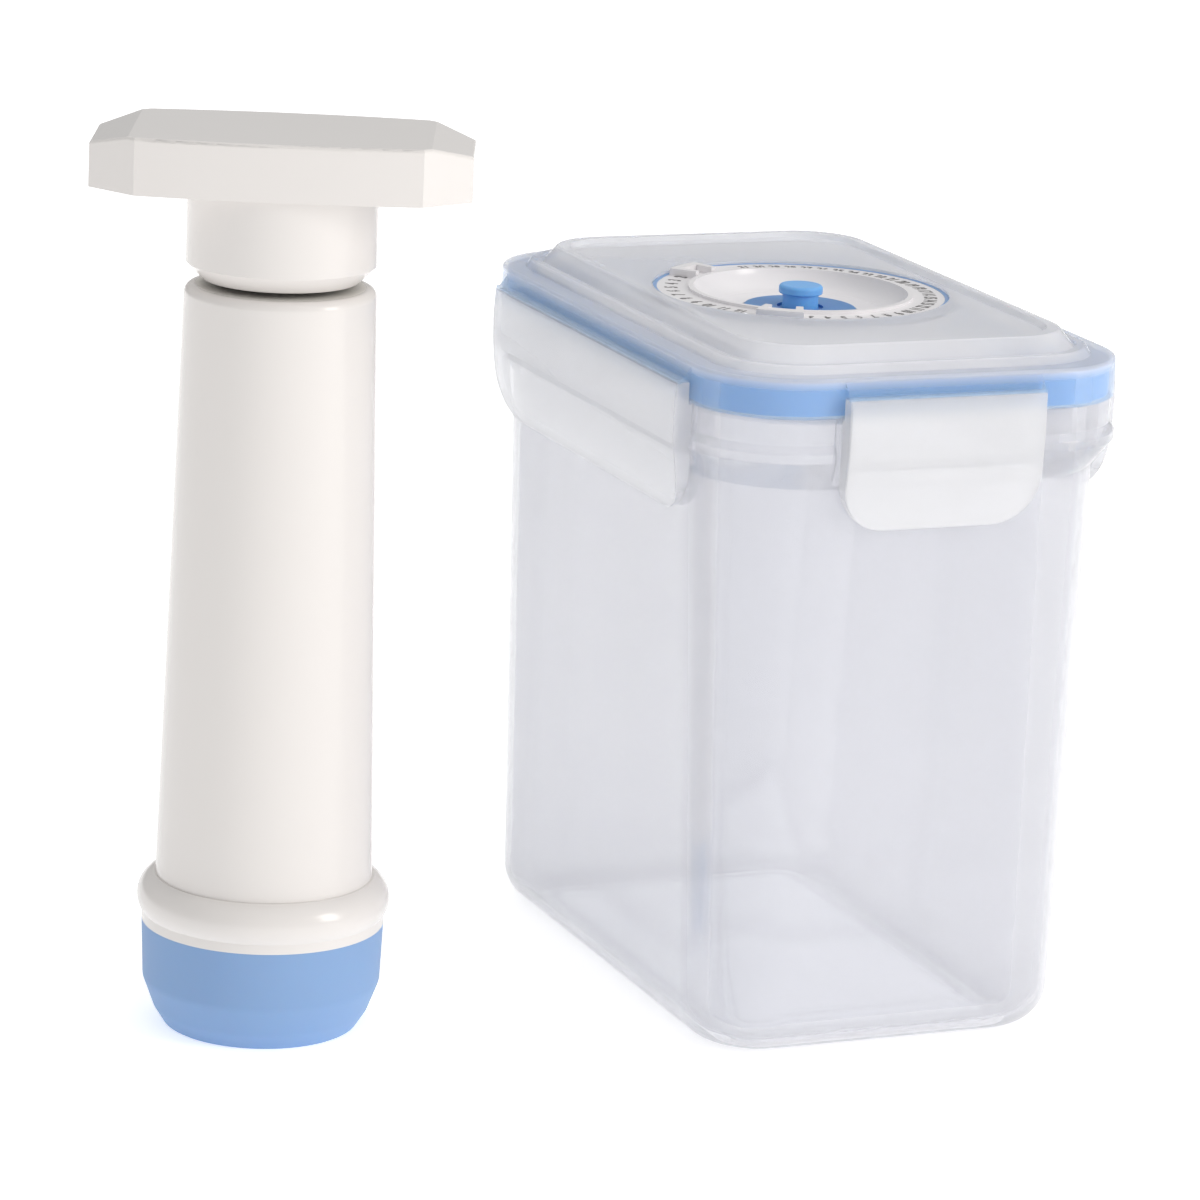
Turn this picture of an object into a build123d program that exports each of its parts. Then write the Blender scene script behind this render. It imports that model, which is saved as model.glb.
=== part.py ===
"""Vacuum seal canister with its hand pump.

A clear tapered box closed by a lid with four snap latches. The middle of the lid holds a
white date dial and a release valve. The pump stands beside the box and is pressed over the
valve to draw the air out. Millimetres, +Z up, origin at the middle of the canister's base.
X runs along the short side of the box and Y along the long side.
"""
import os

from build123d import *

os.makedirs("parts", exist_ok=True)

# Clearances shared by all pieces
seat_gap = 0.3
running_gap = 0.05
cut_over = 1.0

# Canister box
base_x = 90.3
base_y = 141.3
base_corner = 17.7
wall_flare = 4.3
top_corner = 27.0
foot_radius = 9.0
wall = 1.7
floor_thick = 2.2
collar_z = 132.8
collar_top = 149.0
collar_inset = 0.5
bead_proud = 0.6
bead_low = 6.6
bead_height = 2.0
bead_fade = 1.8
bead_round = 0.5
lip_thick = 1.6
lip_height = 2.6
lip_round = 0.5
foot_groove_inset = 12.0
foot_groove_width = 1.4
foot_groove_depth = 0.5

# Lid
rim_overhang = 1.65
rim_corner = 22.0
inset_corner_share = 0.65
rim_height = 8.7
rim_round = 0.9
step_inset = 5.0
step_height = 1.8
step_slope = 1.2
step_round = 0.9
ledge_width = 1.9
groove_width = 0.5
groove_depth = 0.5
panel_rise = 3.4
panel_slope = 3.0
panel_round = 0.9
border_width = 2.6
field_depth = 1.0
field_slope = 0.9
lid_skin = 1.8
skirt_wall = 1.1
gasket_roof = 1.0
gasket_gap = 0.1
plug_gap = 1.6
plug_wall = 1.3
plug_drop = 2.3

# Latches, one on each side
latch_short_width = 48.0
latch_long_width = 109.0
latch_height = 30.2
latch_bulge = 3.7
latch_bulge_drop = 7.9
latch_arc_radius = 78.0
latch_wall = 1.5
latch_corner = 11.0
latch_back = 0.6
latch_edge_round = 0.4
rib_height = 1.5
ridge_height = 1.8
ridge_proud = 0.4
ridge_drop = 7.8
ridge_end_gap = 4.0
bay_gap = 1.5
bay_inset = 1.3
hinge_out = 2.6
hinge_drop = 4.1
hinge_bead = 0.5
land_top_drop = 0.9
land_nose_share = 0.8

# Date dial in the lid
dial_radius = 33.5
moat_depth = 0.7
dial_flange = 1.2
dial_lip_radius = 26.2
dial_lip_wall = 1.3
bowl_depth = 4.4
bowl_floor_radius = 19.5
bowl_wall = 1.4
bowl_sag = 1.1
dial_seat_width = 2.5
dial_boss_wall = 2.0
seal_width = 1.0
seal_drop = 0.6
pointer_bar = 2.2
pointer_height = 1.7
pointer_angle = 19.0
pointer_window_angle = 12.0
day_pointer_angle = -123.0
month_pointer_angle = 124.0

# Release valve
valve_radius = 13.0
valve_thick = 1.0
valve_pocket = 0.6
valve_edge_round = 0.3
valve_dimple_radius = 5.4
valve_dimple_depth = 0.6
stem_radius = 2.2
neck_radius = 4.2
neck_height = 3.0
knob_radius = 5.1
knob_height = 2.1
knob_round = 0.8
valve_travel = 2.5
clip_radius = 5.0
clip_thick = 1.4
stem_tail = 0.8
vent_radius = 1.1
vent_circle = 8.0
vent_count = 4

# Hand pump, which stands beside the canister
pump_x = -132.0
pump_y = -12.0
pump_turn = -22.5
spigot_wall = 6.7
cup_side_inset = 0.5
cup_heel_inset = 3.0
cup_foot_inset = 5.4
cup_heel_height = 3.8
cup_side_height = 10.5
cup_height = 24.0
cup_foot_land = 3.2
cup_mouth_depth = 9.0
cup_web = 3.0
cup_port_radius = 9.5
cup_wall = 2.6
cup_round = 0.6
cup_side_round = 4.0
ring_height = 11.0
ring_bead_proud = 1.1
ring_band_height = 2.2
ring_middle_share = 0.42
ring_top_step = 0.5
barrel_foot_room = 4.0
barrel_top_room = 0.7
barrel_length = 135.0
barrel_shoulder = 2.0
barrel_wall = 2.4
bore_radius = 16.5
tube_wall = 1.6
plate_thick = 3.0
plate_hole_radius = 1.5
plate_hole_circle = 7.0
plate_hole_count = 6
inlet_flap_radius = 10.0
inlet_flap_thick = 0.8
guide_flange = 2.0
guide_height = 10.0
rod_radius = 5.0
rod_tip_radius = 3.5
handle_gap = 1.5
collar_radius = 21.0
collar_length = 20.6
collar_chamfer = 3.6
collar_wall = 2.4
collar_web = 4.0
grip_length = 83.4
grip_width = 45.0
grip_height = 12.6
grip_cut_x = 10.5
grip_cut_y = 11.0
grip_bow = 2.0
grip_slope_length = 9.0
grip_slope_drop = 2.6
grip_round = 0.8
grip_pocket_radius = 17.0
grip_pocket_depth = 8.5
grip_boss_radius = 9.0
rod_thread_length = 7.0
nut_flats = 16.0
nut_height = 5.0
piston_thick = 8.0
piston_gap = 0.6
piston_seal_width = 3.0
piston_seal_depth = 2.0
piston_port_radius = 1.3
piston_port_circle = 8.5
piston_port_count = 6
exhaust_flap_thick = 0.8
exhaust_flap_radius = 11.5
piston_lift_gap = 1.2

# Sizes that follow from those above
mouth_x = base_x + 2 * (wall_flare - wall)
mouth_y = base_y + 2 * (wall_flare - wall)
mouth_corner = top_corner - wall
lid_x = base_x + 2 * (wall_flare + rim_overhang)
lid_y = base_y + 2 * (wall_flare + rim_overhang)
rim_bottom = collar_top + seat_gap
rim_top = rim_bottom + rim_height
step_top = rim_top + step_height
groove_inset = step_inset + step_slope + ledge_width
panel_inset = groove_inset + groove_width
border_inset = panel_inset + panel_slope
panel_top = step_top + panel_rise
field_z = panel_top - field_depth
gasket_top = rim_top - gasket_roof
moat_z = field_z - moat_depth
dial_seat_z = moat_z - dial_flange
bowl_z = field_z - bowl_depth
bowl_under_z = bowl_z - bowl_wall
valve_z = bowl_z - valve_pocket
hinge_z = rim_top - hinge_drop
barrel_foot_radius = bore_radius + tube_wall + barrel_foot_room + barrel_wall
barrel_top_radius = bore_radius + tube_wall + barrel_top_room + barrel_wall
spigot_radius = bore_radius + tube_wall + spigot_wall
cup_top_radius = spigot_radius + cup_wall


def box_outline(z, inset=0):
    """Outside of the tapered box at height z, drawn in by inset."""
    share = z / collar_z
    grow = wall_flare * share - inset
    corner = base_corner + (top_corner - base_corner) * share - inset
    return Pos(0, 0, z) * RectangleRounded(base_x + 2 * grow, base_y + 2 * grow, corner)


def mouth_outline(z, offset):
    """Inside of the box's mouth at height z, pushed out by offset."""
    corner = mouth_corner + offset
    return Pos(0, 0, z) * RectangleRounded(mouth_x + 2 * offset, mouth_y + 2 * offset, corner)


def lid_outline(z, inset):
    """Outside of the lid's rim at height z, drawn in by inset."""
    corner = rim_corner - inset_corner_share * inset
    return Pos(0, 0, z) * RectangleRounded(lid_x - 2 * inset, lid_y - 2 * inset, corner)


def between(lower, upper):
    """Straight-sided solid from one outline to the one above it."""
    return loft([lower, upper], ruled=True)


def rounded_at(shape, z, radius):
    """Round the edges that lie at height z."""
    level = [edge for edge in shape.edges()
             if abs(edge.center().Z - z) < running_gap and edge.bounding_box().size.Z < running_gap]
    return fillet(level, radius)


def side_bar(width, out_low, out_high, z_low, z_high):
    """Bar along one side: X along the side, Y outward from the rim, Z up."""
    middle = Pos(0, (out_low + out_high) / 2, (z_low + z_high) / 2)
    return middle * Box(width, out_high - out_low, z_high - z_low)


def turned(outline):
    """Solid of revolution about Z from a closed outline of (radius, height) points."""
    return revolve(Plane.XZ * make_face(outline), axis=Axis.Z)


def tube(outer, inner, z_low, z_high):
    """Ring about Z."""
    height = z_high - z_low
    ring = Cylinder(outer, height) - Cylinder(inner, height)
    return Pos(0, 0, (z_low + z_high) / 2) * ring


def drum(radius, z_low, z_high):
    """Plain cylinder about Z."""
    return Pos(0, 0, (z_low + z_high) / 2) * Cylinder(radius, z_high - z_low)


def holes_on_circle(radius, circle, count, z_low, z_high):
    """Cutting pins on a circle about Z."""
    return [Rot(0, 0, 360 * i / count) * Pos(circle, 0, 0) * drum(radius, z_low, z_high)
            for i in range(count)]


# Where each latch hangs, and how wide it is
sides = {
    "front": (Pos(0, -lid_y / 2, 0) * Rot(0, 0, 180), latch_short_width),
    "back": (Pos(0, lid_y / 2, 0), latch_short_width),
    "left": (Pos(-lid_x / 2, 0, 0) * Rot(0, 0, 90), latch_long_width),
    "right": (Pos(lid_x / 2, 0, 0) * Rot(0, 0, -90), latch_long_width),
}


def make_container():
    """Box with a rounded foot, a collar with its bead, latch bays and the sealing lip."""
    outside = between(box_outline(0), box_outline(collar_z))
    outside = rounded_at(outside, 0, foot_radius)
    cavity = between(box_outline(floor_thick, wall), box_outline(collar_z, wall))
    cavity = rounded_at(cavity, floor_thick, foot_radius - wall)
    bead_bottom = collar_z + bead_low
    bead_top = bead_bottom + bead_height
    wall_bottom = bead_top + bead_fade
    collar = between(box_outline(collar_z), lid_outline(bead_bottom, -bead_proud))
    collar += extrude(lid_outline(bead_bottom, -bead_proud), bead_height)
    collar += between(lid_outline(bead_top, -bead_proud), lid_outline(wall_bottom, collar_inset))
    collar += extrude(lid_outline(wall_bottom, collar_inset), collar_top - wall_bottom)
    collar = rounded_at(collar, bead_bottom, bead_round)
    collar = rounded_at(collar, bead_top, bead_round)
    ridge_top = collar_top - ridge_drop
    for place, width in sides.values():
        bay_out = bead_proud + cut_over
        bay_top = collar_top + cut_over
        collar -= place * side_bar(width + 2 * bay_gap, -bay_inset, bay_out, collar_z, bay_top)
        ridge_out = ridge_proud - bay_inset
        collar += place * side_bar(width - 2 * ridge_end_gap, -bay_inset - wall, ridge_out,
                                   ridge_top - ridge_height, ridge_top)
    lip_top = collar_top + lip_height
    lip = rounded_at(extrude(mouth_outline(collar_top, lip_thick), lip_height), lip_top, lip_round)
    mouth = extrude(mouth_outline(collar_z, 0), lip_top + cut_over - collar_z)
    foot_groove = extrude(box_outline(0, foot_groove_inset), foot_groove_depth)
    foot_groove -= extrude(box_outline(0, foot_groove_inset + foot_groove_width), foot_groove_depth)
    return outside + collar + lip - cavity - mouth - foot_groove


def make_hinge_land(width):
    """Sloped bar from the lid's rim out to the bead that the latch turns on."""
    bead_top = (hinge_out - hinge_bead / 2, hinge_z + hinge_bead * land_nose_share)
    slope = Polyline((-skirt_wall, rim_top - land_top_drop), (0, rim_top - land_top_drop), bead_top,
                     (hinge_out, hinge_z), (-skirt_wall, hinge_z), close=True)
    land = extrude(Plane.YZ * make_face(slope), width / 2, both=True)
    return land + Pos(0, hinge_out, hinge_z) * Rot(0, 90, 0) * Cylinder(hinge_bead, width)


def make_lid():
    """Rim, step and raised panel, with the gasket groove and plug wall underneath."""
    rim = rounded_at(extrude(lid_outline(rim_bottom, 0), rim_height), rim_top, rim_round)
    step = between(lid_outline(rim_top, step_inset), lid_outline(step_top, step_inset + step_slope))
    step = rounded_at(step, step_top, step_round)
    panel_foot = step_top - groove_depth
    step -= extrude(lid_outline(panel_foot, groove_inset), groove_depth + cut_over)
    panel = between(lid_outline(panel_foot, panel_inset), lid_outline(panel_top, border_inset))
    panel = rounded_at(panel, panel_top, panel_round)
    field_edge = border_inset + border_width
    panel -= between(lid_outline(field_z, field_edge + field_slope), lid_outline(panel_top, field_edge))
    lid = rim + step + panel
    groove_height = gasket_top - rim_bottom
    groove = extrude(lid_outline(rim_bottom, skirt_wall), groove_height)
    groove -= extrude(mouth_outline(rim_bottom, -plug_gap), groove_height)
    plug = extrude(mouth_outline(rim_bottom - plug_drop, -plug_gap), plug_drop)
    step_roof = step_top - lid_skin
    pocket_z = rim_bottom - plug_drop
    pocket = extrude(mouth_outline(pocket_z, -plug_gap - plug_wall), step_roof - pocket_z)
    pocket += extrude(lid_outline(step_roof, border_inset), field_z - lid_skin - step_roof)
    recess = dial_radius + seal_width
    lid = lid - groove + plug - pocket
    lid += drum(recess + dial_boss_wall, dial_seat_z - lid_skin, field_z)
    lid -= drum(recess, dial_seat_z, panel_top)
    lid -= drum(dial_radius - dial_seat_width, dial_seat_z - lid_skin, panel_top)
    for place, width in sides.values():
        lid += place * make_hinge_land(width)
    return lid


def make_gasket():
    """Soft ring in the lid's groove, with a slot for the box's lip."""
    low = rim_bottom + seat_gap
    height = gasket_top - gasket_gap - low
    ring = extrude(lid_outline(low, skirt_wall + gasket_gap), height)
    ring -= extrude(mouth_outline(low, gasket_gap - plug_gap), height)
    slot_height = collar_top + lip_height + seat_gap - low
    slot = extrude(mouth_outline(low, lip_thick + seat_gap), slot_height)
    slot -= extrude(mouth_outline(low, -seat_gap), slot_height)
    return ring - slot


def latch_profile(thick, back, low, high):
    """Section of a latch: a long arc outside, straight at the back."""
    bulge_z = hinge_z - latch_bulge_drop
    radius = latch_arc_radius - thick

    def on_arc(z):
        return (latch_bulge - latch_arc_radius + (radius ** 2 - (z - bulge_z) ** 2) ** 0.5, z)

    face = ThreePointArc(on_arc(low), on_arc((low + high) / 2), on_arc(high))
    rest = Polyline(on_arc(high), (back, high), (back, low), on_arc(low))
    return Plane.YZ * make_face(face + rest)


def make_latch(width):
    """Curved flap that turns on the lid's hinge bead and snaps over the box's ridge."""
    top = hinge_z - hinge_bead / 2
    low = top - latch_height
    skirt_clear = rim_bottom - 2 * seat_gap
    body = extrude(latch_profile(0, -latch_back, low, top), width / 2, both=True)
    inner_low = low + latch_wall
    inner_top = top - latch_wall
    inner_width = width - 2 * latch_wall
    hollow = latch_profile(latch_wall, -latch_back - cut_over, inner_low, inner_top)
    hollow = extrude(hollow, inner_width / 2, both=True)
    middle = (low + top) / 2
    outline = Rectangle(width, latch_height)
    outline = fillet(outline.vertices().group_by(Axis.Y)[0], latch_corner)
    reach = 2 * (latch_bulge + latch_back)
    body &= extrude(Pos(0, 0, middle) * (Plane.XZ * outline), reach, both=True)
    inner_height = inner_top - inner_low
    inner_outline = Rectangle(inner_width, inner_height)
    inner_outline = fillet(inner_outline.vertices().group_by(Axis.Y)[0], latch_corner - latch_wall)
    hollow &= extrude(Pos(0, 0, (inner_low + inner_top) / 2) * (Plane.XZ * inner_outline), reach, both=True)
    face_edges = body.faces().sort_by(Axis.Y)[-1].edges()
    body = fillet(face_edges, latch_edge_round)
    rib_top = collar_top - ridge_drop - ridge_height - seat_gap
    rib = side_bar(inner_width, -latch_back, latch_bulge, rib_top - rib_height, rib_top)
    rib &= extrude(latch_profile(latch_wall / 2, -latch_back, low, top), width / 2, both=True)
    body = body - hollow + rib
    body -= side_bar(width, -latch_back, seat_gap, skirt_clear, top + cut_over)
    bead = Pos(0, hinge_out, hinge_z) * Rot(0, 90, 0) * Cylinder(hinge_bead + running_gap, width + cut_over)
    return body - bead


def make_dial():
    """White insert: flange, number moat, raised lip and the bowl that the pump presses on."""
    lip_inner = dial_lip_radius - dial_lip_wall
    stem_hole = stem_radius + running_gap
    pocket = valve_radius + seat_gap
    under_edge = (bowl_floor_radius + bowl_wall / 2, bowl_under_z)
    top = Polyline((bowl_floor_radius, bowl_z), (pocket, bowl_z), (pocket, valve_z), (stem_hole, valve_z),
                   (stem_hole, bowl_under_z), under_edge)
    bowl_outside = SagittaArc(under_edge, (dial_lip_radius, dial_seat_z), -bowl_sag)
    rim = Polyline((dial_lip_radius, dial_seat_z), (dial_radius, dial_seat_z), (dial_radius, moat_z),
                   (dial_lip_radius, moat_z), (dial_lip_radius, field_z), (lip_inner, field_z))
    bowl_inside = SagittaArc((lip_inner, field_z), (bowl_floor_radius, bowl_z), bowl_sag)
    dial = turned(top + bowl_outside + rim + bowl_inside)
    for pin in holes_on_circle(vent_radius, vent_circle, vent_count, bowl_under_z, valve_z):
        dial -= pin
    return dial


def make_pointer(angle):
    """U-shaped marker that slides round the moat and frames one number."""
    outer = dial_radius - seat_gap
    inner = dial_lip_radius + seat_gap
    outline = Polyline((inner, moat_z), (outer, moat_z), (outer, moat_z + pointer_height),
                       (inner, moat_z + pointer_height), close=True)
    window_edge = outer - pointer_bar
    window = Polyline((inner, moat_z), (window_edge, moat_z), (window_edge, moat_z + pointer_height),
                      (inner, moat_z + pointer_height), close=True)
    body = Rot(0, 0, -pointer_angle / 2) * revolve(Plane.XZ * make_face(outline), Axis.Z, pointer_angle)
    gap = revolve(Plane.XZ * make_face(window), Axis.Z, pointer_window_angle)
    return Rot(0, 0, angle) * (body - Rot(0, 0, -pointer_window_angle / 2) * gap)


def make_valve():
    """Soft disc over the vents, the knob with its stem, and the clip that holds the stem."""
    disc_top = valve_z + valve_thick
    disc = rounded_at(drum(valve_radius, valve_z, disc_top), disc_top, valve_edge_round)
    dimple_z = disc_top - valve_dimple_depth
    disc -= drum(valve_dimple_radius, dimple_z, disc_top)
    disc -= drum(stem_radius, valve_z, dimple_z)
    knob_low = disc_top + neck_height
    knob_top = knob_low + knob_height
    head = drum(knob_radius, knob_low, knob_top)
    head = rounded_at(rounded_at(head, knob_top, knob_round), knob_low, knob_round / 2)
    clip_top = bowl_under_z - valve_travel - running_gap
    clip_low = clip_top - clip_thick
    knob = head + drum(neck_radius, dimple_z, knob_low) + drum(stem_radius, clip_low - stem_tail, dimple_z)
    clip = tube(clip_radius, stem_radius, clip_low, clip_top)
    return {"valve_disc": disc, "valve_knob": knob, "valve_clip": clip}


def make_pump_cup():
    """Soft cup that seals on the dial's bowl, gripping the pump's foot ring above."""
    web_low = cup_mouth_depth
    web_top = cup_mouth_depth + cup_web
    foot = cup_top_radius - cup_foot_inset
    mouth = foot - cup_foot_land
    inside = Polyline((cup_top_radius, cup_height), (spigot_radius, cup_height), (spigot_radius, web_top),
                      (cup_port_radius, web_top), (cup_port_radius, web_low), (mouth, web_low),
                      (mouth, 0), (foot, 0))
    side = Polyline((foot, 0), (cup_top_radius - cup_heel_inset, cup_heel_height),
                    (cup_top_radius - cup_side_inset, cup_side_height), (cup_top_radius, cup_height))
    cup = rounded_at(turned(inside + side), 0, cup_round)
    cup = rounded_at(cup, cup_heel_height, cup_side_round)
    return rounded_at(cup, cup_side_height, cup_side_round)


def make_pump_ring():
    """Foot ring with a bulged bead, and the spigot that the cup grips."""
    web_top = cup_mouth_depth + cup_web
    ring_top = cup_height + ring_height
    band_top = cup_height + ring_band_height
    inner = bore_radius + tube_wall
    shoulder = barrel_foot_radius + ring_top_step
    inside = Polyline((shoulder, ring_top), (inner, ring_top), (inner, web_top), (spigot_radius, web_top),
                      (spigot_radius, cup_height), (cup_top_radius, cup_height), (cup_top_radius, band_top))
    bead_z = band_top + ring_middle_share * (ring_top - band_top)
    bead_middle = (cup_top_radius + ring_bead_proud, bead_z)
    bead = ThreePointArc((cup_top_radius, band_top), bead_middle, (shoulder, ring_top))
    return turned(inside + bead)


def make_pump():
    """All pieces of the pump about its own axis, standing on z = 0."""
    web_top = cup_mouth_depth + cup_web
    ring_top = cup_height + ring_height
    barrel_top = ring_top + barrel_length
    tube_outer = bore_radius + tube_wall
    plate_top = web_top + plate_thick
    tube_top = barrel_top - guide_height
    barrel_inner_top = barrel_top_radius - barrel_wall
    barrel_inner_foot = barrel_foot_radius - barrel_wall
    shell = Polyline((barrel_foot_radius, ring_top), (barrel_top_radius, barrel_top),
                     (barrel_inner_top, barrel_top), (barrel_inner_foot, ring_top), close=True)
    barrel = turned(shell)
    rim = [edge for edge in barrel.edges() if edge.center().Z > barrel_top - running_gap
           and edge.radius > barrel_inner_top + running_gap]
    barrel = fillet(rim, barrel_shoulder)
    plate = drum(tube_outer, web_top, plate_top)
    for pin in holes_on_circle(plate_hole_radius, plate_hole_circle, plate_hole_count, web_top, plate_top):
        plate -= pin
    inlet_flap = drum(inlet_flap_radius, plate_top, plate_top + inlet_flap_thick)
    guide = drum(tube_outer, tube_top, barrel_top - guide_flange)
    guide += drum(barrel_inner_top, barrel_top - guide_flange, barrel_top)
    guide -= drum(rod_radius + running_gap, tube_top, barrel_top)

    piston_low = plate_top + inlet_flap_thick + piston_lift_gap
    piston_top = piston_low + piston_thick
    piston_radius = bore_radius - piston_gap
    seal_low = piston_low + (piston_thick - piston_seal_width) / 2
    seal_high = seal_low + piston_seal_width
    seal_inner = piston_radius - piston_seal_depth
    piston = drum(piston_radius, piston_low, piston_top)
    piston -= tube(piston_radius, seal_inner, seal_low, seal_high)
    for pin in holes_on_circle(piston_port_radius, piston_port_circle, piston_port_count,
                               piston_low, piston_top):
        piston -= pin
    piston -= drum(rod_tip_radius, piston_low, piston_top)
    piston_seal = tube(bore_radius - running_gap, seal_inner, seal_low, seal_high)
    exhaust_flap = tube(exhaust_flap_radius, rod_radius, piston_top, piston_top + exhaust_flap_thick)

    collar_low = barrel_top + handle_gap
    collar_high = collar_low + collar_length
    collar_roof = collar_high - collar_web
    collar = drum(collar_radius, collar_low, collar_high)
    collar = chamfer(collar.edges().group_by(Axis.Z)[0], collar_chamfer)
    collar -= drum(collar_radius - collar_wall - collar_chamfer, collar_low, collar_low + collar_chamfer)
    collar -= drum(collar_radius - collar_wall, collar_low + collar_chamfer, collar_roof)
    collar -= drum(rod_radius, collar_roof, collar_high)
    nut_low = collar_roof - nut_height
    nut = extrude(Pos(0, 0, nut_low) * RegularPolygon(nut_flats / 2, 6, major_radius=False), nut_height)
    nut -= drum(rod_radius, nut_low, collar_roof)
    rod_top = collar_high + rod_thread_length
    rod = drum(rod_radius, piston_top, rod_top) + drum(rod_tip_radius, piston_low, piston_top)
    return {
        "pump_cup": make_pump_cup(), "pump_foot_ring": make_pump_ring(), "pump_barrel": barrel,
        "pump_tube": tube(tube_outer, bore_radius, plate_top, tube_top), "inlet_plate": plate,
        "inlet_flap": inlet_flap, "rod_guide": guide, "piston": piston, "piston_seal": piston_seal,
        "exhaust_flap": exhaust_flap, "plunger_rod": rod, "rod_nut": nut, "handle_collar": collar,
        "handle_grip": make_grip(collar_high, rod_top),
    }


def make_grip(low, rod_top):
    """Long eight-sided handle, bowed along its sides, with its top sloped down at both ends."""
    half_x, half_y = grip_length / 2, grip_width / 2
    flat_x, flat_y = half_x - grip_cut_x, half_y - grip_cut_y
    side_y = half_y - grip_bow
    plan = SagittaArc((flat_x, side_y), (-flat_x, side_y), -grip_bow)
    plan += SagittaArc((-flat_x, -side_y), (flat_x, -side_y), -grip_bow)
    plan += Polyline((-flat_x, side_y), (-half_x, flat_y), (-half_x, -flat_y), (-flat_x, -side_y))
    plan += Polyline((flat_x, -side_y), (half_x, -flat_y), (half_x, flat_y), (flat_x, side_y))
    top = low + grip_height
    grip = extrude(Pos(0, 0, low) * make_face(plan), grip_height)
    end_top = top - grip_slope_drop
    slope_x = half_x - grip_slope_length
    front = Polyline((-half_x, low), (-half_x, end_top), (-slope_x, top), (slope_x, top),
                     (half_x, end_top), (half_x, low), close=True)
    grip &= extrude(Plane.XZ * make_face(front), grip_width, both=True)
    grip = fillet([edge for edge in grip.edges() if edge.center().Z > end_top - running_gap], grip_round)
    pocket = tube(grip_pocket_radius, grip_boss_radius, low, low + grip_pocket_depth)
    return grip - pocket - drum(rod_radius, low, rod_top)


pieces = {
    "container": make_container(), "lid": make_lid(),
    "lid_gasket": make_gasket(), "date_dial": make_dial(),
}
seal_outer = dial_radius + seal_width - running_gap
pieces["dial_seal"] = tube(seal_outer, dial_radius, dial_seat_z, field_z - seal_drop)
for side, (place, width) in sides.items():
    pieces["latch_" + side] = place * make_latch(width)
pieces["day_pointer"] = make_pointer(day_pointer_angle)
pieces["month_pointer"] = make_pointer(month_pointer_angle)
pieces.update(make_valve())
pump_place = Pos(pump_x, pump_y, 0) * Rot(0, 0, pump_turn)
for name, solid in make_pump().items():
    pieces[name] = pump_place * solid

for name, solid in pieces.items():
    export_step(solid, "parts/" + name + ".step")
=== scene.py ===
"""Looks of the vacuum canister and its hand pump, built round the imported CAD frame.

The clear box, its lid and latches are polypropylene, the dial and the pump are ABS, and the
gasket, the valve and the pump's cup are silicone rubber. The date dial's numbers are added here.
"""
from math import cos, pi, radians, sin

import bmesh
import bpy
from mathutils import Matrix, Vector


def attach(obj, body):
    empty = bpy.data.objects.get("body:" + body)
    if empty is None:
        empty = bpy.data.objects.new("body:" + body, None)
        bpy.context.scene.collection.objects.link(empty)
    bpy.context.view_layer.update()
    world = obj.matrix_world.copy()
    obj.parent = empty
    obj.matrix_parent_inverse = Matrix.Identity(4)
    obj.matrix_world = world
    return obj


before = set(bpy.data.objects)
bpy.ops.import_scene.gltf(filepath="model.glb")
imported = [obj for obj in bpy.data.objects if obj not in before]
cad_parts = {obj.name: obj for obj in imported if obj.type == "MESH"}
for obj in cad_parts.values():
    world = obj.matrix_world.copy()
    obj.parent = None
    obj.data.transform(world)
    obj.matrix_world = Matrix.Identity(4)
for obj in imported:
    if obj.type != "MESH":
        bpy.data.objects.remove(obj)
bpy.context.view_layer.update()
MM = 0.001

# Camera: where the photograph was taken from, looking at the middle of the box
VIEW_AZIMUTH = radians(-23.157)
VIEW_ELEVATION = radians(14.327)
VIEW_ROLL = radians(2.553)
VIEW_DISTANCE = 1244.3 * MM
VIEW_TARGET = Vector((0, 0, 75 * MM))
VIEW_SLIDE_RIGHT = -42.844 * MM
VIEW_SLIDE_UP = 12.2 * MM
SENSOR_WIDTH_MM = 36
FOCAL_PIXELS = 5269.6
IMAGE_PIXELS = 1200

# Lid: up to this height the gasket's blue, as it shows through the plastic, is painted into its
# colour, and above it the paint fades out to the plastic's white, a painted highlight on the rim's
# top edge
GASKET_TOP_Z = 155.2 * MM
GASKET_BLUE_FADE = 2.4 * MM
PAINTED_GASKET_BLUE = "c4e0fa"
RIM_CLOUD = 0.46
TOP_CLOUD = 0.66

# Date dial: the numbers stand in its moat
MOAT_FLOOR_Z = 161.5 * MM
NUMBER_RADIUS = 30.0 * MM
NUMBER_SIZE = 4.2 * MM
NUMBER_NARROWING = 0.66
STROKE_GAIN = 0.1 * MM
NUMBER_THICKNESS = 0.04 * MM
DAY_FIRST_ANGLE = -124.4
DAY_STEP = 7.2
MONTH_FIRST_ANGLE = 126
MONTH_STEP = 8.4

# Studio: a window at the right, and the glow of the room's walls, ceiling and table
WINDOW_PLACE = (1.06, -1.18, 0.7)
WINDOW_AIM = (-0.05, 0, 0.1)
WINDOW_SIZE = (0.5, 0.9)
WINDOW_WATTS = 10
WINDOW_TINT = "fffaf5"
WALL_GLOW = 0.38
CEILING_GLOW = 1.08
CEILING_START = 0.9
LEFT_WALL_SHARE = 0.58
LEFT_WALL_X = -0.9
BRIGHT_WALL_X = 0.3
TABLE_RADIUS = 6.0
TABLE_SIDES = 96
TABLE_GLOW = 0.5


def rgb(code):
    """Linear opaque colour of an sRGB hex code such as e8e6e3."""
    shares = [int(code[i:i + 2], 16) / 255 for i in (0, 2, 4)]
    return [s / 12.92 if s <= 0.04045 else ((s + 0.055) / 1.055) ** 2.4 for s in shares] + [1.0]


def add(tree, kind, inputs=(), links=(), **settings):
    """One node with its settings, its socket values and the links into it."""
    made = tree.nodes.new("ShaderNode" + kind)
    for name, value in settings.items():
        setattr(made, name, value)
    for socket, value in dict(inputs).items():
        made.inputs[socket].default_value = value
    for socket, source in dict(links).items():
        tree.links.new(source, made.inputs[socket])
    return made


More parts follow.
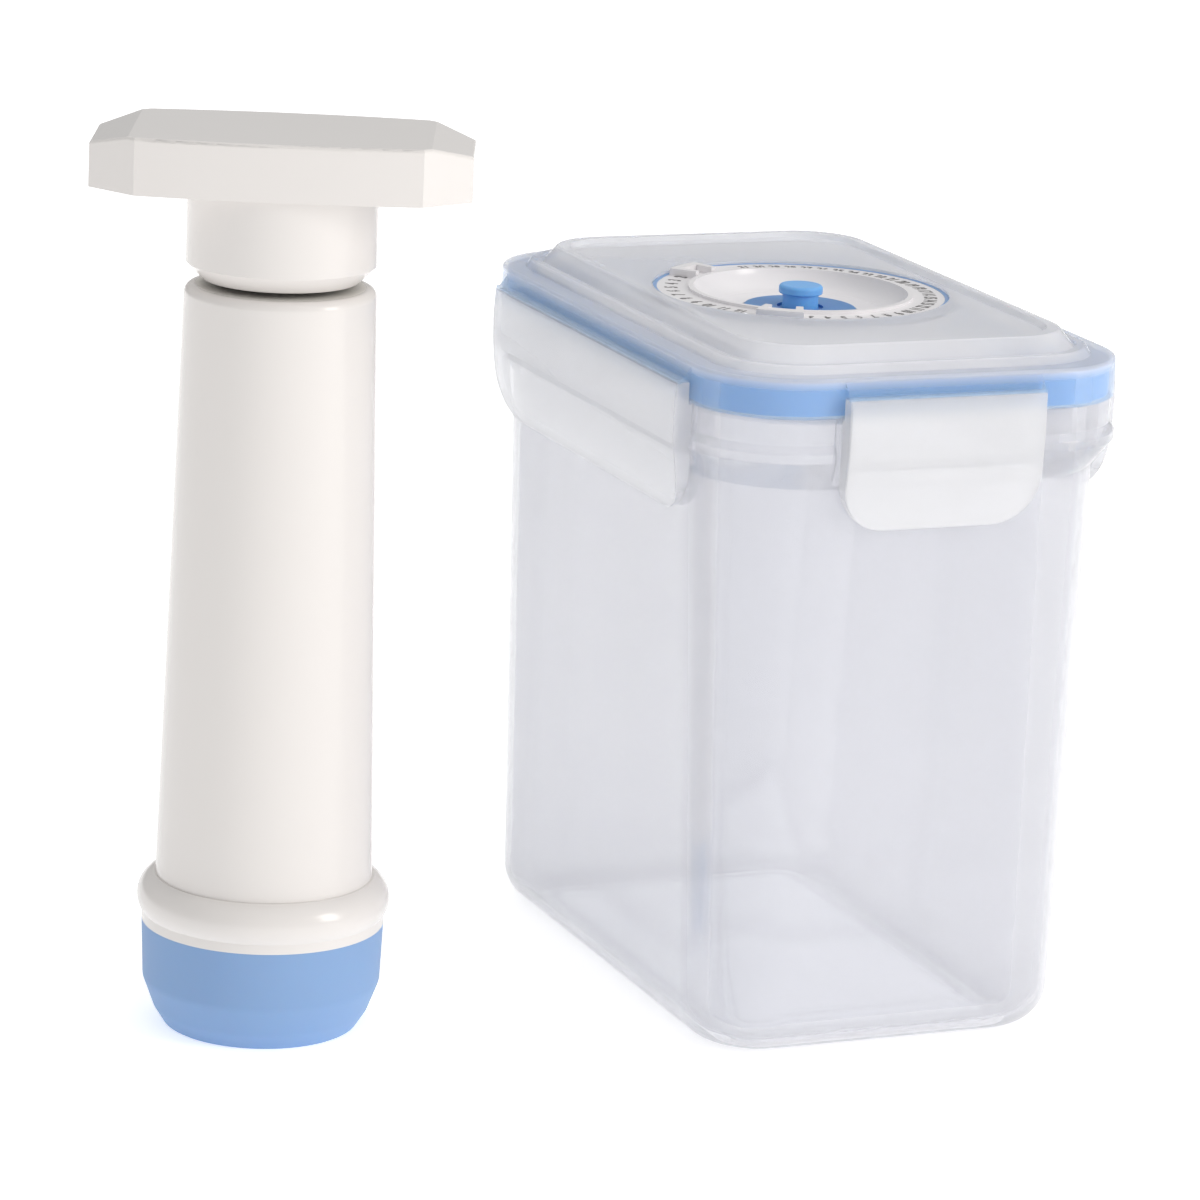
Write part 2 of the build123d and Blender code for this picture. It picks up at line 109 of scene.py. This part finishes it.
def moulded(name, tones, patch_mm, roughness, grain_mm, grain_depth_mm, sockets):
    """Moulded surface: two near tones in soft patches, and a fine skin that breaks up the gloss."""
    finish = bpy.data.materials.new(name)
    finish.use_nodes = True
    tree = finish.node_tree
    tree.nodes.clear()
    place = add(tree, "TexCoord").outputs["Object"]
    patch = add(tree, "TexNoise", {"Scale": 1 / (patch_mm * MM), "Detail": 3.0}, {"Vector": place})
    tone = add(tree, "ValToRGB", links={"Fac": patch.outputs["Fac"]})
    for stop, code in zip(tone.color_ramp.elements, tones):
        stop.color = rgb(code)
    grain = add(tree, "TexNoise", {"Scale": 1 / (grain_mm * MM), "Detail": 2.0}, {"Vector": place})
    skin = add(tree, "MapRange", {"To Min": roughness[0], "To Max": roughness[1]},
               {"Value": patch.outputs["Fac"]})
    relief = add(tree, "Bump", {"Strength": 1.0, "Distance": grain_depth_mm * MM},
                 {"Height": grain.outputs["Fac"]})
    links = {"Base Color": tone.outputs["Color"], "Roughness": skin.outputs["Result"],
             "Normal": relief.outputs["Normal"]}
    surface = add(tree, "BsdfPrincipled", sockets, links)
    add(tree, "OutputMaterial", links={"Surface": surface.outputs["BSDF"]})
    return finish


# Polypropylene, injection moulded and faintly cloudy: the wall lets light and shapes through
cloudy_polypropylene = moulded(
    "cloudy_polypropylene", ("e2e3ea", "e7e8ee"), 45, (0.06, 0.1), 4, 0.002,
    sockets={"IOR": 1.49, "Transmission Weight": 0.64, "Alpha": 0.62})

# The same plastic in the lid, thicker and milkier; the gasket's blue showing through its rim is
# painted in below
milky_polypropylene = moulded(
    "milky_polypropylene", ("f8f9fe", "fcfcff"), 30, (0.1, 0.16), 4, 0.002,
    sockets={"IOR": 1.49, "Transmission Weight": 0.4})

# Painted show-through and highlight: the gasket's blue is painted into the colour of the thin rim
# round it and fades out upward as a painted highlight on the rim's top edge, and the top is
# cloudier
lid_tree = milky_polypropylene.node_tree
lid_surface = lid_tree.nodes["Principled BSDF"]
lid_tone = lid_surface.inputs["Base Color"].links[0].from_socket
lid_place = add(lid_tree, "TexCoord").outputs["Object"]
lid_height = add(lid_tree, "SeparateXYZ", links={"Vector": lid_place})
above_gasket = add(lid_tree, "MapRange",
                   {"From Min": GASKET_TOP_Z, "From Max": GASKET_TOP_Z + GASKET_BLUE_FADE},
                   {"Value": lid_height.outputs["Z"]})
painted_rim_colour = add(lid_tree, "Mix", {"A": rgb(PAINTED_GASKET_BLUE)},
           {"Factor": above_gasket.outputs["Result"], "B": lid_tone}, data_type="RGBA")
cloud = add(lid_tree, "MapRange", {"To Min": RIM_CLOUD, "To Max": TOP_CLOUD},
            {"Value": above_gasket.outputs["Result"]})
lid_tree.links.new(painted_rim_colour.outputs["Result"], lid_surface.inputs["Base Color"])
lid_tree.links.new(cloud.outputs["Result"], lid_surface.inputs["Alpha"])

# Short latches, moulded in a polished tool: the glossiest of the clear plastics, painted whitest as
# the lit copy of the latch plastic
lit_glossy_polypropylene = moulded(
    "lit_glossy_polypropylene", ("f8f9fc", "fdfdfe"), 40, (0.07, 0.1), 6, 0.002,
    sockets={"IOR": 1.49, "Transmission Weight": 0.5, "Alpha": 0.76, "Coat Weight": 1.0,
             "Coat Roughness": 0.04})

# Long latches, of the same plastic: the shaded copy, painted greyer than the short latches and made
# clearer, as in soft side light they look as clear as the box behind them
shaded_clear_polypropylene = moulded(
    "shaded_clear_polypropylene", ("eff0f6", "f3f4f9"), 40, (0.07, 0.1), 6, 0.002,
    sockets={"IOR": 1.49, "Transmission Weight": 0.5, "Alpha": 0.6, "Coat Weight": 1.0,
             "Coat Roughness": 0.04})

# Silicone rubber, pressed: soft blue with a skin that spreads the light
gasket_silicone = moulded(
    "gasket_silicone", ("38a0ec", "48a8f1"), 15, (0.42, 0.55), 0.6, 0.004,
    sockets={"IOR": 1.41, "Subsurface Weight": 0.2, "Subsurface Scale": 1.5 * MM})

valve_silicone = moulded(
    "valve_silicone", ("6fb0ee", "78b8f4"), 10, (0.38, 0.5), 0.5, 0.004,
    sockets={"IOR": 1.41, "Subsurface Weight": 0.25, "Subsurface Scale": 2 * MM})

# The valve's disc: the valve silicone painted a deeper blue, as painted shade from the knob and the
# dish's bowl
shaded_disc_silicone = moulded(
    "shaded_disc_silicone", ("4a82bd", "548bc6"), 10, (0.38, 0.5), 0.5, 0.004,
    sockets={"IOR": 1.41, "Subsurface Weight": 0.25, "Subsurface Scale": 2 * MM})

cup_silicone = moulded(
    "cup_silicone", ("84a5d1", "8aaad4"), 22, (0.5, 0.6), 0.7, 0.006,
    sockets={"IOR": 1.41, "Subsurface Weight": 0.15, "Subsurface Scale": 1.5 * MM})

# ABS, moulded in warm white and polished: the lights show in it as long soft bands
pump_abs = moulded(
    "pump_abs", ("e4e0dd", "e6e2df"), 60, (0.16, 0.2), 2.5, 0.001,
    sockets={"IOR": 1.52})

dial_abs = moulded(
    "dial_abs", ("eceaec", "f0eef0"), 25, (0.2, 0.28), 1.0, 0.002,
    sockets={"IOR": 1.52})

# Unpolished nylon of the pieces inside the pump
inner_nylon = moulded(
    "inner_nylon", ("dcdad4", "e6e4df"), 12, (0.45, 0.6), 0.5, 0.01,
    sockets={"IOR": 1.53})

seal_nitrile = moulded(
    "seal_nitrile", ("2c2c2e", "38383a"), 8, (0.5, 0.65), 0.4, 0.01,
    sockets={"IOR": 1.5})

# Pad printing ink: thin, dark grey, a little glossy
dial_ink = moulded(
    "dial_ink", ("343130", "454140"), 3, (0.35, 0.45), 0.4, 0.002,
    sockets={"IOR": 1.5})

finish_of_node = {
    "container": cloudy_polypropylene, "lid": milky_polypropylene,
    "latch_front": lit_glossy_polypropylene, "latch_back": lit_glossy_polypropylene,
    "latch_left": shaded_clear_polypropylene, "latch_right": shaded_clear_polypropylene,
    "lid_gasket": gasket_silicone, "dial_seal": cup_silicone,
    "date_dial": dial_abs, "day_pointer": dial_abs, "month_pointer": dial_abs,
    "valve_disc": shaded_disc_silicone, "valve_knob": valve_silicone, "valve_clip": inner_nylon,
    "pump_cup": cup_silicone, "pump_foot_ring": pump_abs, "pump_barrel": pump_abs,
    "pump_tube": inner_nylon, "inlet_plate": inner_nylon, "inlet_flap": seal_nitrile,
    "rod_guide": inner_nylon, "handle_grip": pump_abs, "handle_collar": pump_abs,
    "plunger_rod": inner_nylon, "rod_nut": inner_nylon, "piston": inner_nylon,
    "piston_seal": seal_nitrile, "exhaust_flap": seal_nitrile,
}
for node_name, finish in finish_of_node.items():
    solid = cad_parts[node_name]
    for slot in solid.material_slots:
        slot.material = finish


def new_object(name, mesh_data, finish):
    """Link a mesh as an object that wears one finish."""
    made = bpy.data.objects.new(name, mesh_data)
    bpy.context.collection.objects.link(made)
    mesh_data.materials.clear()
    mesh_data.materials.append(finish)
    return made


def number_mesh(text):
    """Mesh of one printed number, centred on the origin and lying flat."""
    curve = bpy.data.curves.new("number", "FONT")
    curve.body = text
    curve.size = NUMBER_SIZE
    curve.offset = STROKE_GAIN
    curve.align_x = "CENTER"
    curve.align_y = "CENTER"
    curve.extrude = NUMBER_THICKNESS / 2
    writer = bpy.data.objects.new("number", curve)
    bpy.context.collection.objects.link(writer)
    bpy.context.view_layer.update()
    drawn = writer.evaluated_get(bpy.context.evaluated_depsgraph_get())
    shape = bpy.data.meshes.new_from_object(drawn)
    bpy.data.objects.remove(writer)
    return shape


def print_numbers(name, last, first_angle, step):
    """Ring of printed numbers from 1 to last, tops outward, in the dial's moat."""
    ring = bmesh.new()
    for number in range(1, last + 1):
        angle = radians(first_angle + step * (number - 1))
        narrowed = Matrix.Diagonal((NUMBER_NARROWING, 1, 1, 1))
        turned = Matrix.Rotation(angle - pi / 2, 4, "Z") @ narrowed
        spot = Vector((NUMBER_RADIUS * cos(angle), NUMBER_RADIUS * sin(angle),
                       MOAT_FLOOR_Z + NUMBER_THICKNESS / 2))
        shape = number_mesh(str(number))
        shape.transform(Matrix.Translation(spot) @ turned)
        ring.from_mesh(shape)
        bpy.data.meshes.remove(shape)
    printed = bpy.data.meshes.new(name)
    ring.to_mesh(printed)
    ring.free()
    ink = new_object(name, printed, dial_ink)
    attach(ink, "lid")


print_numbers("day_numbers", 31, DAY_FIRST_ANGLE, DAY_STEP)
print_numbers("month_numbers", 12, MONTH_FIRST_ANGLE, MONTH_STEP)

# Camera
back = Vector((sin(VIEW_AZIMUTH) * cos(VIEW_ELEVATION), -cos(VIEW_AZIMUTH) * cos(VIEW_ELEVATION),
               sin(VIEW_ELEVATION)))
level = Vector((cos(VIEW_AZIMUTH), sin(VIEW_AZIMUTH), 0))
right = level * cos(VIEW_ROLL) + back.cross(level) * sin(VIEW_ROLL)
up = back.cross(right)
camera_data = bpy.data.cameras.new("camera")
camera_data.sensor_width = SENSOR_WIDTH_MM
camera_data.lens = FOCAL_PIXELS / IMAGE_PIXELS * SENSOR_WIDTH_MM
camera = bpy.data.objects.new("camera", camera_data)
camera.matrix_world = Matrix.Translation(
    VIEW_TARGET + right * VIEW_SLIDE_RIGHT + up * VIEW_SLIDE_UP + back * VIEW_DISTANCE
) @ Matrix((right, up, back)).transposed().to_4x4()
bpy.context.collection.objects.link(camera)
bpy.context.scene.camera = camera
bpy.context.scene.view_settings.view_transform = "Standard"


# Soft window light from the right, which draws the bright band down the pump
window = bpy.data.lights.new("window_right", "AREA")
window.shape = "RECTANGLE"
window.size, window.size_y = WINDOW_SIZE
window.energy = WINDOW_WATTS
window.color = rgb(WINDOW_TINT)[:3]
window_holder = bpy.data.objects.new("window_right", window)
window_holder.location = WINDOW_PLACE
window_way = Vector(WINDOW_AIM) - Vector(WINDOW_PLACE)
window_holder.rotation_euler = window_way.to_track_quat("-Z", "Y").to_euler()
bpy.context.collection.objects.link(window_holder)

# White studio: the ceiling is brighter than the walls, and the left wall is the darkest
studio = bpy.data.worlds.new("studio")
studio.use_nodes = True
room = studio.node_tree
way = add(room, "SeparateXYZ", links={"Vector": add(room, "TexCoord").outputs["Generated"]})
glow = add(room, "MapRange",
           {"From Max": CEILING_START, "To Min": WALL_GLOW, "To Max": CEILING_GLOW},
           {"Value": way.outputs["Z"]})
side = add(room, "MapRange",
           {"From Min": LEFT_WALL_X, "From Max": BRIGHT_WALL_X, "To Min": LEFT_WALL_SHARE},
           {"Value": way.outputs["X"]})
light = add(room, "Math", links={0: glow.outputs["Result"], 1: side.outputs["Result"]},
            operation="MULTIPLY")
room.links.new(light.outputs["Value"], room.nodes["Background"].inputs["Strength"])
room.nodes["Background"].inputs["Color"].default_value = rgb("ffffff")
bpy.context.scene.world = studio

# Floor: a plain white table, faintly lit from within as a light table is
floor_shape = bmesh.new()
bmesh.ops.create_circle(floor_shape, cap_ends=True, segments=TABLE_SIDES, radius=TABLE_RADIUS)
floor_mesh = bpy.data.meshes.new("floor")
floor_shape.to_mesh(floor_mesh)
floor_shape.free()
table_top = moulded("white_table", ("f4f4f4", "f6f6f6"), 400, (0.7, 0.8), 3, 0.001,
                    sockets={"Emission Color": rgb("ffffff"), "Emission Strength": TABLE_GLOW})
floor = new_object("floor", floor_mesh, table_top)
